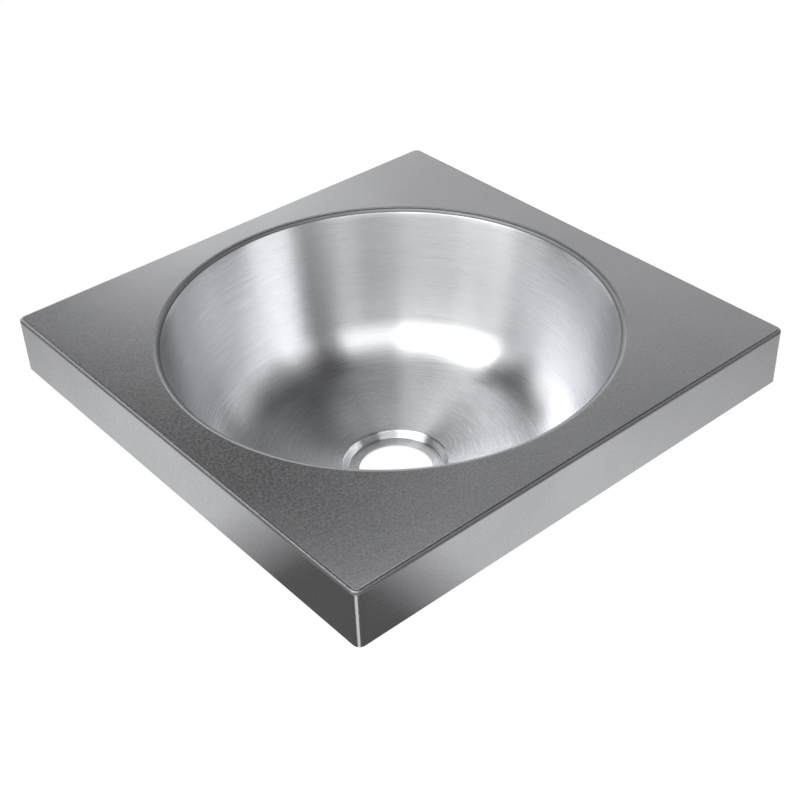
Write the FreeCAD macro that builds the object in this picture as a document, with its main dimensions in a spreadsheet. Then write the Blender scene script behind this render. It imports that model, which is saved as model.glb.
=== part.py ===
import FreeCAD, Part
import Sketcher
import math
import os
import re

# Wall-hung stainless-steel washbasin, in millimetres.
# The wall is the plane y = 0, +Z is up and the basin stands out of the wall towards -Y.
# The origin is the centre of the bracket's four wall holes.

# Driving dimensions
SIZES = {
    # deck: a square sheet with its sides folded down
    "basin_width": 370,
    "basin_depth": 370,
    "apron_height": 42,
    "deck_sheet": 1.5,
    "corner_radius": 5,
    "bend_radius": 2.5,
    "return_width": 12,
    # rolled rim where the deck turns down into the bowl
    "rim_diameter": 313.3,
    "rim_roll": 5,
    "seam_depth": 6,
    # bowl, set back from the deck's middle towards the wall, with depths down from the deck's top
    "bowl_set_back": 2.9,
    "bowl_sheet": 1.2,
    "wall_angle": 15,
    "knuckle_radius": 40,
    "dish_slope": 8,
    "seat_depth": 128.9,
    "recess_step": 5.3,
    "recess_diameter": 77,
    "recess_lip": 2,
    "seat_diameter": 70.6,
    "seat_corner": 1,
    "waste_hole": 54.6,
    # rubber pads glued under the dish, with their radii from the bowl's axis
    "sound_pad_inner": 46,
    "sound_pad_outer": 92,
    "sound_pad_thick": 3,
    "sound_pad_angle": 80,
    "glue_film": 0.2,
    # wall bracket: a back plate, two cheeks folded forward and a flange folded out of each cheek
    "bracket_sheet": 2.5,
    "bracket_width": 235,
    "bracket_bend": 1.5,
    "plate_height": 82,
    "plate_gap": 3,
    "apron_gap": 3.5,
    "cheek_margin": 1.5,
    "cheek_nose": 12,
    "cheek_foot": 22,
    "flange_width": 30,
    "flange_corner": 6,
    "wall_hole": 9,
    "wall_hole_spacing_x": 180,
    "wall_hole_spacing_z": 40,
    # top-hat rails under the deck
    "rail_sheet": 2,
    "rail_height": 12,
    "rail_web": 26,
    "rail_foot": 10,
    "rail_gap": 5,
    "rail_bowl_gap": 5.5,
    "rail_bend": 1,
    # bearing pads between the rails and the bracket's flanges
    "pad_thick": 2,
    "pad_margin": 1.5,
    # screws with their washers and nuts
    "screw_size": 6,
    "screw_tail": 1.3,
    "screw_head": 4,
    "screw_flats": 10,
    "screw_play": 1,
    "thread_play": 0.1,
    "washer_size": 12,
    "washer_thick": 1.6,
    "split_washer_size": 11.2,
    "split_gap": 1.2,
    "nut_height": 5,
    # earthing tag under the deck
    "tag_sheet": 1.5,
    "tag_width": 20,
    "tag_foot": 14,
    "tag_drop": 26,
    "tag_hole_drop": 15,
    "tag_corner": 4,
    "tag_bend": 0.8,
    "tag_from_side": 10,
    "tag_from_wall": 112,
}

# Places that several pieces share, as formulas of the sizes above
DECK_TOP = "apron_height + plate_gap + plate_height / 2"
DECK_UNDER = f"{DECK_TOP} - deck_sheet"
BOWL_FROM_WALL = "(basin_depth / 2 - bowl_set_back)"
BOWL_Y = f"-{BOWL_FROM_WALL}"
WALL_SLOPE = "tan(wall_angle * 1 deg)"
DISH_RISE = "tan(dish_slope * 1 deg)"
DISH_EDGE = "(seat_depth - recess_step)"
RAIL_X = "bracket_width / 2 + flange_width / 2"
RAIL_BACK = "deck_sheet + rail_gap"
# the rails reach forward until their inner corners come near the bowl's round collar
COLLAR_WALL = "deck_sheet / cos(wall_angle * 1 deg)"
RAIL_CORNER_X = f"({RAIL_X} - rail_web / 2 - rail_foot)"
RAIL_CORNER_RADIUS = f"(rim_diameter / 2 + {COLLAR_WALL} + rail_bowl_gap)"
RAIL_FRONT = f"({BOWL_FROM_WALL} - sqrt({RAIL_CORNER_RADIUS} ^ 2 - {RAIL_CORNER_X} ^ 2))"
RAIL_LENGTH = f"({RAIL_FRONT} - ({RAIL_BACK}))"
CHEEK_REACH = f"({RAIL_FRONT} + cheek_margin)"
SCREW_Y = f"-({RAIL_BACK} + {RAIL_LENGTH} / 2)"
PAD_TOP = f"{DECK_UNDER} - rail_height"
FLANGE_TOP = f"{PAD_TOP} - pad_thick"
FLANGE_UNDER = f"{FLANGE_TOP} - bracket_sheet"
SCREW_HOLE = "screw_size + 2 * screw_play"
TAG_X = "basin_width / 2 - deck_sheet - tag_from_side - tag_foot"

# how near two lengths lie that count as the same, and the least volume that a cut takes away
SAME = 0.01
LEAST_CUT = 1e-6

UPWARD = FreeCAD.Vector(0, 0, 1)

doc = FreeCAD.newDocument("washbasin")
sheet = doc.addObject("Spreadsheet::Sheet", "Sizes")
for row, (alias, number) in enumerate(SIZES.items(), start=1):
    sheet.set(f"A{row}", alias)
    sheet.set(f"B{row}", str(number))
    sheet.setAlias(f"B{row}", alias)
doc.recompute()


def size(alias):
    """A driving dimension as a number."""
    return float(sheet.get(alias))


def formula(text):
    """A formula of the sizes, with each size's name pointed at its cell."""
    return re.sub(r"[a-z_]{4,}", lambda word: f"Sizes.{word[0]}" if word[0] in SIZES else word[0], text)


def bind(target, **properties):
    """Bind an object's own sizes to formulas."""
    for name, text in properties.items():
        target.setExpression(name, formula(text))


def place(target, **coordinates):
    """Bind an object's position to formulas for x, y and z."""
    for axis, text in coordinates.items():
        target.setExpression(f"Placement.Base.{axis}", formula(text))


def new_body(label):
    body = doc.addObject("PartDesign::Body", label)
    body.Label = label
    return body


def origin_plane(body, role):
    return next(feature for feature in body.Origin.OriginFeatures if feature.Role == role)


def new_sketch(body, name, role, offset="0", shift="0"):
    """A sketch on an origin plane of the body, moved by formulas along the plane's normal and its y."""
    sketch = body.newObject("Sketcher::SketchObject", f"{body.Name}_{name}")
    sketch.AttachmentSupport = [(origin_plane(body, role), "")]
    sketch.MapMode = "FlatFace"
    sketch.setExpression("AttachmentOffset.Base.y", formula(shift))
    sketch.setExpression("AttachmentOffset.Base.z", formula(offset))
    return sketch


def fix_point(sketch, curve, end, across, up):
    """Tie a point of a curve to the sketch's origin by two formulas."""
    for kind, text in (("DistanceX", across), ("DistanceY", up)):
        index = sketch.addConstraint(Sketcher.Constraint(kind, -1, 1, curve, end, 1.0))
        sketch.setExpression(f"Constraints[{index}]", formula(text))


def polygon(sketch, corners):
    """A closed outline through corners that are given as pairs of formulas."""
    count = len(corners)
    spots = [FreeCAD.Vector(index + 1, index * index, 0) for index in range(count)]
    first = sketch.GeometryCount
    for index in range(count):
        sketch.addGeometry(Part.LineSegment(spots[index], spots[(index + 1) % count]))
    for index in range(count):
        following = first + (index + 1) % count
        sketch.addConstraint(Sketcher.Constraint("Coincident", first + index, 2, following, 1))
    for index, (across, up) in enumerate(corners):
        fix_point(sketch, first + index, 1, across, up)


def rectangle(sketch, left, right, low, high):
    polygon(sketch, [(left, low), (right, low), (right, high), (left, high)])


def rounded_rectangle(sketch, half_x, half_y, radius):
    """A rectangle about the sketch's origin with rounded corners."""
    reach = 100.0
    turn = 10.0
    straight = reach - turn
    quarter = math.pi / 2
    lines = []
    arcs = []
    # first drawn as a square of any size, side by side from the lower one
    for side in range(4):
        spin = FreeCAD.Rotation(UPWARD, 90 * side)
        start = spin.multVec(FreeCAD.Vector(-straight, -reach, 0))
        end = spin.multVec(FreeCAD.Vector(straight, -reach, 0))
        centre = spin.multVec(FreeCAD.Vector(straight, -straight, 0))
        corner = Part.Circle(centre, UPWARD, turn)
        lines.append(sketch.addGeometry(Part.LineSegment(start, end)))
        arcs.append(sketch.addGeometry(Part.ArcOfCircle(corner, quarter * (side - 1), quarter * side)))
    for side in range(4):
        sketch.addConstraint(Sketcher.Constraint("Tangent", lines[side], 2, arcs[side], 1))
        sketch.addConstraint(Sketcher.Constraint("Tangent", arcs[side], 2, lines[(side + 1) % 4], 1))
        direction = "Horizontal" if side % 2 == 0 else "Vertical"
        sketch.addConstraint(Sketcher.Constraint(direction, lines[side]))
    for side in range(3):
        sketch.addConstraint(Sketcher.Constraint("Equal", arcs[side], arcs[side + 1]))
    bound = [
        Sketcher.Constraint("DistanceY", -1, 1, lines[0], 1, -reach),
        Sketcher.Constraint("DistanceX", -1, 1, lines[1], 1, reach),
        Sketcher.Constraint("DistanceY", -1, 1, lines[2], 1, reach),
        Sketcher.Constraint("DistanceX", -1, 1, lines[3], 1, -reach),
        Sketcher.Constraint("Radius", arcs[0], turn),
    ]
    for constraint, text in zip(bound, (f"-{half_y}", half_x, half_y, f"-{half_x}", radius)):
        index = sketch.addConstraint(constraint)
        sketch.setExpression(f"Constraints[{index}]", formula(text))


def circle(sketch, across, up, diameter):
    index = sketch.addGeometry(Part.Circle(FreeCAD.Vector(1, 1, 0), UPWARD, 1.0))
    fix_point(sketch, index, 3, across, up)
    number = sketch.addConstraint(Sketcher.Constraint("Diameter", index, 2.0))
    sketch.setExpression(f"Constraints[{number}]", formula(diameter))


def pad(body, sketch, length, backwards=False):
    """Thicken the sketch along its normal, or backwards against it."""
    feature = body.newObject("PartDesign::Pad", f"{sketch.Name}_pad")
    feature.Profile = sketch
    feature.Reversed = backwards
    bind(feature, Length=length)
    doc.recompute()
    return feature


def pocket(body, sketch, length, backwards=False):
    """Cut the sketch's outline out of the body, and stop if that takes nothing away."""
    before = body.Shape.Volume
    feature = body.newObject("PartDesign::Pocket", f"{sketch.Name}_cut")
    feature.Profile = sketch
    feature.Reversed = backwards
    bind(feature, Length=length)
    doc.recompute()
    if body.Shape.Volume > before - LEAST_CUT:
        raise RuntimeError(f"{feature.Name} cuts nothing")


def revolution(body, sketch):
    feature = body.newObject("PartDesign::Revolution", f"{sketch.Name}_turn")
    feature.Profile = sketch
    feature.ReferenceAxis = (sketch, ["V_Axis"])
    feature.Angle = 360
    doc.recompute()
    return feature


def fillet(body, name, radius, wanted):
    """Round the edges of the body's last feature that the test picks."""
    last = body.Tip
    names = [f"Edge{number}" for number, edge in enumerate(last.Shape.Edges, start=1) if wanted(edge)]
    if not names:
        raise RuntimeError(f"{body.Name} has no edges for {name}")
    feature = body.newObject("PartDesign::Fillet", f"{body.Name}_{name}")
    feature.Base = (last, names)
    bind(feature, Radius=radius)
    doc.recompute()


def near(one, other):
    return abs(one - other) < SAME


def is_line_along(edge, axis):
    """True for a straight edge along axis x, y or z."""
    box = edge.BoundBox
    spans = {"x": box.XLength, "y": box.YLength, "z": box.ZLength}
    straight = edge.Curve.TypeId == "Part::GeomLine"
    return straight and all(span < SAME for name, span in spans.items() if name != axis)


def is_level_at(edge, height):
    return near(edge.BoundBox.ZMin, height) and near(edge.BoundBox.ZMax, height)


def is_ring_between(edge, low, high):
    """True for a round edge whose radius lies between low and high."""
    return edge.Curve.TypeId == "Part::GeomCircle" and low + SAME < edge.Curve.Radius < high - SAME


def is_ring(edge, radius):
    return edge.Curve.TypeId == "Part::GeomCircle" and near(edge.Curve.Radius, radius)


def group(label, pieces):
    """Separate solids under one name."""
    compound = doc.addObject("Part::Compound", label)
    compound.Links = pieces
    compound.Label = label
    return compound


def mirrored_pair(label, piece):
    """The piece and its mirror image across the basin's middle."""
    image = doc.addObject("Part::Mirroring", f"{label}_image")
    image.Source = piece
    image.Normal = FreeCAD.Vector(1, 0, 0)
    return group(label, [piece, image])


def cylinder(name, diameter, height):
    piece = doc.addObject("Part::Cylinder", name)
    bind(piece, Radius=f"({diameter}) / 2", Height=height)
    return piece


def block(name, length, width, height):
    """A box whose own origin is the middle of its lower face."""
    piece = doc.addObject("Part::Box", name)
    bind(piece, Length=length, Width=width, Height=height)
    place(piece, x=f"-({length}) / 2", y=f"-({width}) / 2")
    return piece


def hexagon(name, height):
    """A six-sided block with the screws' size across its flats."""
    piece = doc.addObject("Part::Prism", name)
    piece.Polygon = 6
    bind(piece, Circumradius="screw_flats / 2 / cos(180 deg / 6)", Height=height)
    return piece


def cut(name, base, tool):
    piece = doc.addObject("Part::Cut", name)
    piece.Base = base
    piece.Tool = tool
    return piece


def washer(name, diameter, hole):
    disc = cylinder(f"{name}_disc", diameter, "washer_thick")
    return cut(name, disc, cylinder(f"{name}_hole", hole, "washer_thick"))


def split_washer(name):
    """A spring washer: a ring with a narrow slot through one side."""
    ring = washer(f"{name}_ring", "split_washer_size", "screw_size + thread_play")
    slot = block(f"{name}_slot", "split_washer_size", "split_gap", "washer_thick")
    place(slot, x="0")
    return cut(name, ring, slot)


def hex_screw(name, length):
    """A hexagon-head screw that points up, with the seat of its head at its own z = 0."""
    head = hexagon(f"{name}_head", "screw_head")
    place(head, z="-screw_head")
    screw = doc.addObject("Part::Fuse", name)
    screw.Base = head
    screw.Tool = cylinder(f"{name}_shank", "screw_size", length)
    return screw


def hex_nut(name):
    hole = cylinder(f"{name}_hole", "screw_size + thread_play", "nut_height")
    return cut(name, hexagon(f"{name}_block", "nut_height"), hole)


def make_deck():
    """The folded deck. Its own origin is on the bowl's axis, at its top."""
    body = new_body("deck")
    half_x = "basin_width / 2"
    half_y = "basin_depth / 2"
    middle = "-bowl_set_back"
    outline = new_sketch(body, "outline", "XY_Plane", shift=middle)
    rectangle(outline, f"-{half_x}", half_x, f"-{half_y}", half_y)
    pad(body, outline, "apron_height", backwards=True)
    fillet(body, "corners", "corner_radius", lambda edge: is_line_along(edge, "z"))
    fillet(body, "top_bend", "bend_radius", lambda edge: is_level_at(edge, 0))

    # hollow between the deck's underside and the return flanges
    hollow = new_sketch(body, "hollow", "XY_Plane", "-(apron_height - deck_sheet)", middle)
    inner_x = f"({half_x} - deck_sheet)"
    inner_y = f"({half_y} - deck_sheet)"
    rounded_rectangle(hollow, inner_x, inner_y, "corner_radius - deck_sheet")
    pocket(body, hollow, "apron_height - 2 * deck_sheet", backwards=True)

    # the return flanges turn in along the front and both sides, and the wall side has none
    underside = new_sketch(body, "underside", "XY_Plane", "-apron_height", middle)
    lip_x = f"({half_x} - return_width)"
    rectangle(underside, f"-{lip_x}", lip_x, f"-({half_y} - return_width)", inner_y)
    pocket(body, underside, "deck_sheet", backwards=True)
    ceiling = -size("deck_sheet")
    fillet(body, "inner_bend", "bend_radius - deck_sheet", lambda edge: is_level_at(edge, ceiling))

    # opening for the bowl, with the collar that its rim rolls into
    mouth = new_sketch(body, "mouth", "XY_Plane")
    circle(mouth, "0", "0", "rim_diameter")
    pocket(body, mouth, "2 * deck_sheet")
    collar = new_sketch(body, "collar", "XZ_Plane")
    rim = "rim_diameter / 2"
    foot = f"{rim} - seam_depth * {WALL_SLOPE}"
    polygon(collar, [
        (rim, "0"),
        (foot, "-seam_depth"),
        (f"{foot} + {COLLAR_WALL}", "-seam_depth"),
        (f"{rim} + {COLLAR_WALL}", "0"),
    ])
    revolution(body, collar)
    rim_radius = size("rim_diameter") / 2
    wider = rim_radius + size("rim_roll")

    def is_rim(edge):
        return is_ring(edge, rim_radius) and is_level_at(edge, 0)

    def is_under_rim(edge):
        return is_ring_between(edge, rim_radius, wider) and is_level_at(edge, ceiling)

    fillet(body, "rim", "rim_roll", is_rim)
    fillet(body, "under_rim", "rim_roll - deck_sheet", is_under_rim)
    place(body, y=BOWL_Y, z=DECK_TOP)
    return body


def make_bowl():
    """The drawn bowl. Its own origin is on its axis at the deck's top."""
    body = new_body("bowl")
    inside = new_sketch(body, "inside", "XZ_Plane")
    rim = "rim_diameter / 2"
    recess = "recess_diameter / 2"
    # sharp corner where the wall's slope meets the dish's slope
    dish_on_axis = f"({DISH_EDGE} + {recess} * {DISH_RISE})"
    corner = f"({rim} - {WALL_SLOPE} * {dish_on_axis}) / (1 - {WALL_SLOPE} * {DISH_RISE})"
    polygon(inside, [
        ("0", "-seam_depth"),
        (f"{rim} - seam_depth * {WALL_SLOPE}", "-seam_depth"),
        (corner, f"({corner} - {rim}) / {WALL_SLOPE}"),
        (recess, f"-{DISH_EDGE}"),
        ("seat_diameter / 2", "-seat_depth"),
        ("0", "-seat_depth"),
    ])
    revolution(body, inside)
    seat_radius = size("seat_diameter") / 2
    recess_radius = size("recess_diameter") / 2
    rim_radius = size("rim_diameter") / 2
    seam = -size("seam_depth")

    def is_knuckle(edge):
        return is_ring_between(edge, recess_radius, rim_radius) and not is_level_at(edge, seam)

    fillet(body, "knuckle", "knuckle_radius", is_knuckle)
    fillet(body, "recess_lip", "recess_lip", lambda edge: is_ring(edge, recess_radius))
    fillet(body, "seat_corner", "seat_corner", lambda edge: is_ring(edge, seat_radius))

    # the sheet lies outside the space that the bowl holds
    last = body.Tip
    lids = [f"Face{number}" for number, face in enumerate(last.Shape.Faces, start=1)
            if near(face.BoundBox.ZMin, seam)]
    shell = body.newObject("PartDesign::Thickness", "bowl_shell")
    shell.Base = (last, lids)
    shell.Reversed = False
    bind(shell, Value="bowl_sheet")
    doc.recompute()

    outlet = new_sketch(body, "outlet", "XY_Plane", "-seat_depth")
    circle(outlet, "0", "0", "waste_hole")
    pocket(body, outlet, "2 * bowl_sheet")
    place(body, y=BOWL_Y, z=DECK_TOP)
    return body


def make_sound_pad(label, turn):
    """A rubber pad under the bowl's dish, turned about the bowl's axis. Its own origin is the bowl's."""
    body = new_body(label)
    section = new_sketch(body, "section", "XZ_Plane")
    upright = "cos(dish_slope * 1 deg)"

    def depth(radius, layers):
        rise = f"({radius} - recess_diameter / 2) * {DISH_RISE}"
        return f"{rise} - {DISH_EDGE} - ({layers}) / {upright}"

    face = "bowl_sheet + glue_film"
    back = "bowl_sheet + glue_film + sound_pad_thick"
    polygon(section, [
        ("sound_pad_inner", depth("sound_pad_inner", face)),
        ("sound_pad_outer", depth("sound_pad_outer", face)),
        ("sound_pad_outer", depth("sound_pad_outer", back)),
        ("sound_pad_inner", depth("sound_pad_inner", back)),
    ])
    sector = revolution(body, section)
    sector.Midplane = True
    bind(sector, Angle="sound_pad_angle")
    body.Placement = FreeCAD.Placement(FreeCAD.Vector(), FreeCAD.Rotation(UPWARD, turn))
    place(body, y=BOWL_Y, z=DECK_TOP)
    return body


def make_wall_bracket():
    """The folded bracket. Its own origin is the centre of its wall holes."""
    body = new_body("wall_bracket")
    outer = "bracket_width / 2"
    inner = f"({outer} - bracket_sheet)"
    half_height = "plate_height / 2"
    notch = "(deck_sheet + apron_gap)"

    plate = new_sketch(body, "plate", "XZ_Plane")
    rectangle(plate, f"-{outer}", outer, f"-{half_height}", half_height)
    hole_x = "wall_hole_spacing_x / 2"
    hole_z = "wall_hole_spacing_z / 2"
    for across in (f"-{hole_x}", hole_x):
        for up in (f"-{hole_z}", hole_z):
            circle(plate, across, up, "wall_hole")
    pad(body, plate, "bracket_sheet")

    cheek = new_sketch(body, "cheek", "YZ_Plane", inner)
    polygon(cheek, [
        ("0", f"-{half_height}"),
        ("0", half_height),
        (f"-{notch}", half_height),
        (f"-{notch}", FLANGE_TOP),
        (f"-{CHEEK_REACH}", FLANGE_TOP),
        (f"-{CHEEK_REACH}", f"{FLANGE_TOP} - cheek_nose"),
        ("-cheek_foot", f"-{half_height}"),
    ])
    cheek_pad = pad(body, cheek, "bracket_sheet")

    flange = new_sketch(body, "flange", "XY_Plane", FLANGE_TOP)
    rectangle(flange, inner, f"{outer} + flange_width", f"-{CHEEK_REACH}", f"-{notch}")
    circle(flange, RAIL_X, SCREW_Y, SCREW_HOLE)
    flange_pad = pad(body, flange, "bracket_sheet", backwards=True)

    other_side = body.newObject("PartDesign::Mirrored", "wall_bracket_other_side")
    other_side.Originals = [cheek_pad, flange_pad]
    other_side.MirrorPlane = (origin_plane(body, "YZ_Plane"), [""])
    body.Tip = other_side
    doc.recompute()

    outer_x = size("bracket_width") / 2
    inner_x = outer_x - size("bracket_sheet")
    tip_x = outer_x + size("flange_width")
    thick = size("bracket_sheet")
    top = flange.Placement.Base.z
    under = top - thick

    def is_flange_corner(edge):
        return is_line_along(edge, "z") and near(abs(edge.CenterOfMass.x), tip_x)

    def is_upright_fold(edge, across, depth):
        centre = edge.CenterOfMass
        return is_line_along(edge, "z") and near(abs(centre.x), across) and near(centre.y, depth)

    def is_flange_fold(edge, across, level):
        centre = edge.CenterOfMass
        return is_line_along(edge, "y") and near(abs(centre.x), across) and near(centre.z, level)

    fillet(body, "flange_corners", "flange_corner", is_flange_corner)
    fillet(body, "outer_folds", "bracket_bend + bracket_sheet",
           lambda edge: is_upright_fold(edge, outer_x, 0) or is_flange_fold(edge, inner_x, top))
    fillet(body, "inner_folds", "bracket_bend",
           lambda edge: is_upright_fold(edge, inner_x, -thick) or is_flange_fold(edge, outer_x, under))
    return body


def make_mount_rail(label, side):
    """A top-hat rail. Its own origin is on the deck's underside, at the rail's wall end."""
    body = new_body(label)
    section = new_sketch(body, "section", "XZ_Plane")
    web = "rail_web / 2"
    hollow = f"({web} - rail_sheet)"
    tip = f"({web} + rail_foot)"
    polygon(section, [
        (f"-{tip}", "0"),
        (f"-{tip}", "-rail_sheet"),
        (f"-{web}", "-rail_sheet"),
        (f"-{web}", "-rail_height"),
        (web, "-rail_height"),
        (web, "-rail_sheet"),
        (tip, "-rail_sheet"),
        (tip, "0"),
        (hollow, "0"),
        (hollow, "rail_sheet - rail_height"),
        (f"-{hollow}", "rail_sheet - rail_height"),
        (f"-{hollow}", "0"),
    ])
    pad(body, section, RAIL_LENGTH)
    hole = new_sketch(body, "hole", "XY_Plane", "-rail_height")
    circle(hole, "0", f"-{RAIL_LENGTH} / 2", SCREW_HOLE)
    pocket(body, hole, "rail_sheet", backwards=True)
    web_x = size("rail_web") / 2
    hollow_x = web_x - size("rail_sheet")
    sheet_z = size("rail_sheet")
    height = size("rail_height")

    def is_fold(edge, across, level):
        centre = edge.CenterOfMass
        return is_line_along(edge, "y") and near(abs(centre.x), across) and near(centre.z, level)

    fillet(body, "outer_folds", "rail_bend + rail_sheet",
           lambda edge: is_fold(edge, web_x, -height) or is_fold(edge, hollow_x, 0))
    fillet(body, "inner_folds", "rail_bend",
           lambda edge: is_fold(edge, web_x, -sheet_z) or is_fold(edge, hollow_x, sheet_z - height))
    place(body, x=f"{side} * ({RAIL_X})", y=f"-({RAIL_BACK})", z=DECK_UNDER)
    return body


def make_bearing_pad(label, side):
    """A rubber pad on a bracket flange, under the rail's web."""
    width = "rail_web - 2 * pad_margin"
    length = f"{RAIL_LENGTH} - 2 * pad_margin"
    rubber = block(f"{label}_rubber", width, length, "pad_thick")
    piece = cut(label, rubber, cylinder(f"{label}_hole", SCREW_HOLE, "pad_thick"))
    piece.Label = label
    place(piece, x=f"{side} * ({RAIL_X})", y=SCREW_Y, z=FLANGE_TOP)
    return piece


def make_locking_set():
    """The screws that hold the rails down on the bracket, with their washers and weld nuts."""
    stack = "2 * washer_thick + bracket_sheet + pad_thick + rail_sheet + nut_height + screw_tail"
    screw = hex_screw("locking_screw", stack)
    place(screw, x=RAIL_X, y=SCREW_Y, z=f"{FLANGE_UNDER} - 2 * washer_thick")
    spring = split_washer("locking_spring_washer")
    place(spring, x=RAIL_X, y=SCREW_Y, z=f"{FLANGE_UNDER} - 2 * washer_thick")
    flat = washer("locking_flat_washer", "washer_size", "screw_size + thread_play")
    place(flat, x=RAIL_X, y=SCREW_Y, z=f"{FLANGE_UNDER} - washer_thick")
    nut = hex_nut("rail_weld_nut")
    place(nut, x=RAIL_X, y=SCREW_Y, z=f"{PAD_TOP} + rail_sheet")
    return [
        mirrored_pair("locking_screws", screw),
        mirrored_pair("locking_spring_washers", spring),
        mirrored_pair("locking_flat_washers", flat),
        mirrored_pair("rail_weld_nuts", nut),
    ]


def make_earth_tag():
    """An angle under the deck for the earth wire. Its own origin is its top edge at its wall end."""
    body = new_body("earth_tag")
    section = new_sketch(body, "section", "XZ_Plane")
    polygon(section, [
        ("0", "0"),
        ("tag_foot", "0"),
        ("tag_foot", "-tag_sheet"),
        ("tag_sheet", "-tag_sheet"),
        ("tag_sheet", "-tag_drop"),
        ("0", "-tag_drop"),
    ])
    pad(body, section, "tag_width")
    hole = new_sketch(body, "hole", "YZ_Plane")
    circle(hole, "-tag_width / 2", "-tag_hole_drop", "screw_size + screw_play")
    pocket(body, hole, "tag_sheet", backwards=True)
    thick = size("tag_sheet")
    drop = size("tag_drop")

    def is_corner(edge):
        return is_line_along(edge, "x") and is_level_at(edge, -drop)

    def is_fold(edge, across, level):
        return is_line_along(edge, "y") and near(edge.CenterOfMass.x, across) and is_level_at(edge, level)

    fillet(body, "corners", "tag_corner", is_corner)
    fillet(body, "outer_fold", "tag_bend + tag_sheet", lambda edge: is_fold(edge, 0, 0))
    fillet(body, "inner_fold", "tag_bend", lambda edge: is_fold(edge, thick, -thick))
    place(body, x=TAG_X, y="-tag_from_wall", z=DECK_UNDER)
    return body


def make_earth_set():
    """The earth screw with its washers and nut. The screw points towards the bowl."""
    towards_bowl = FreeCAD.Rotation(FreeCAD.Vector(0, 1, 0), -90)

    def seat(piece, across):
        piece.Placement = FreeCAD.Placement(FreeCAD.Vector(), towards_bowl)
        place(piece, x=across, y="-tag_from_wall - tag_width / 2", z=f"{DECK_UNDER} - tag_hole_drop")
        return piece

    screw = hex_screw("earth_screw", "2 * washer_thick + tag_sheet + nut_height + screw_tail")
    seat(screw, f"{TAG_X} + tag_sheet + washer_thick")
    outer = seat(washer("earth_outer_washer", "washer_size", "screw_size + thread_play"),
                 f"{TAG_X} + tag_sheet + washer_thick")
    inner = seat(washer("earth_inner_washer", "washer_size", "screw_size + thread_play"), TAG_X)
    nut = seat(hex_nut("earth_nut"), f"{TAG_X} - washer_thick")
    return [screw, group("earth_washers", [outer, inner]), nut]


pieces = [
    make_deck(),
    make_bowl(),
    make_sound_pad("right_sound_pad", 0),
    make_sound_pad("left_sound_pad", 180),
    make_wall_bracket(),
    make_mount_rail("right_mount_rail", 1),
    make_mount_rail("left_mount_rail", -1),
    make_bearing_pad("right_bearing_pad", 1),
    make_bearing_pad("left_bearing_pad", -1),
    *make_locking_set(),
    make_earth_tag(),
    *make_earth_set(),
]
doc.recompute()

for item in doc.Objects:
    if "Invalid" in item.State or "Error" in item.State:
        raise RuntimeError(f"{item.Label} failed: {item.State}")
for piece in pieces:
    if piece.Shape.isNull() or not piece.Shape.isValid():
        raise RuntimeError(f"{piece.Label} has no valid shape")

os.makedirs("parts", exist_ok=True)
for piece in pieces:
    piece.Shape.exportStep(f"parts/{piece.Label}.step")
    print(f"{piece.Label}: {len(piece.Shape.Solids)} solids, {piece.Shape.Volume:.0f} mm3")
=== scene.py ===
import math

import bmesh
import bpy
from mathutils import Matrix, Vector


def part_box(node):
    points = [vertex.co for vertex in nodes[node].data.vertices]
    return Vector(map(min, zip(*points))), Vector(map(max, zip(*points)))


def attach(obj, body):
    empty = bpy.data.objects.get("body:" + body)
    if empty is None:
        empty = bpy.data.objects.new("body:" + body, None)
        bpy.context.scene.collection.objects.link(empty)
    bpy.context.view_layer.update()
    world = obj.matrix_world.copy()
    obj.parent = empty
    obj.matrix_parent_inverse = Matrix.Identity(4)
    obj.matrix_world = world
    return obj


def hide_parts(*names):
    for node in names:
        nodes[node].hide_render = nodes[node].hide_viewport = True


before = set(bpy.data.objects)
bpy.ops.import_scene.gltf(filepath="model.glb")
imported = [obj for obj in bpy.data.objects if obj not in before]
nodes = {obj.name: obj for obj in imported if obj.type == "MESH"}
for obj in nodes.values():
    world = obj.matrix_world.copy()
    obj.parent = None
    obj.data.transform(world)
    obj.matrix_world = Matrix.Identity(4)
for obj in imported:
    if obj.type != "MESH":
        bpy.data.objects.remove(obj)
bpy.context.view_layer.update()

# Sizes in metres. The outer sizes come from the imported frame, and the sheet's bends are as in the CAD.
# Only the bowl's wall differs: it is slightly crowned and has a larger knuckle, as in the photo.
MM = 0.001
deck_low, deck_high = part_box("deck")
bowl_low, bowl_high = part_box("bowl")
DECK_SHEET = 1.5 * MM
DECK_CORNER = 5 * MM
TOP_BEND = 2.5 * MM
FOOT_EDGE = 0.5 * MM
FLAT_MARGIN = 0.4 * MM
RETURN_WIDTH = 12 * MM
RETURN_CORNER = 0.6 * MM
RIM_RADIUS = 156.65 * MM
RIM_ROLL = 5 * MM
BOWL_SHEET = 1.2 * MM
WALL_ANGLE = math.radians(15)
WALL_CROWN = 3 * MM
WALL_CROWN_SHARE = 0.62
WALL_ARC = 300 * MM
KNUCKLE_RADIUS = 44 * MM
DISH_SLOPE = math.radians(8)
RECESS_STEP = 5.3 * MM
RECESS_RADIUS = 38.5 * MM
RECESS_LIP = 2 * MM
SEAT_RADIUS = 35.3 * MM
SEAT_CORNER = 1 * MM
WASTE_RADIUS = 27.3 * MM

AXIS = Vector(((bowl_low.x + bowl_high.x) / 2, (bowl_low.y + bowl_high.y) / 2, deck_high.z))
SEAM_DEPTH = deck_high.z - bowl_high.z
SEAT_DEPTH = deck_high.z - bowl_low.z - BOWL_SHEET
APRON_HEIGHT = deck_high.z - deck_low.z

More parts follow.
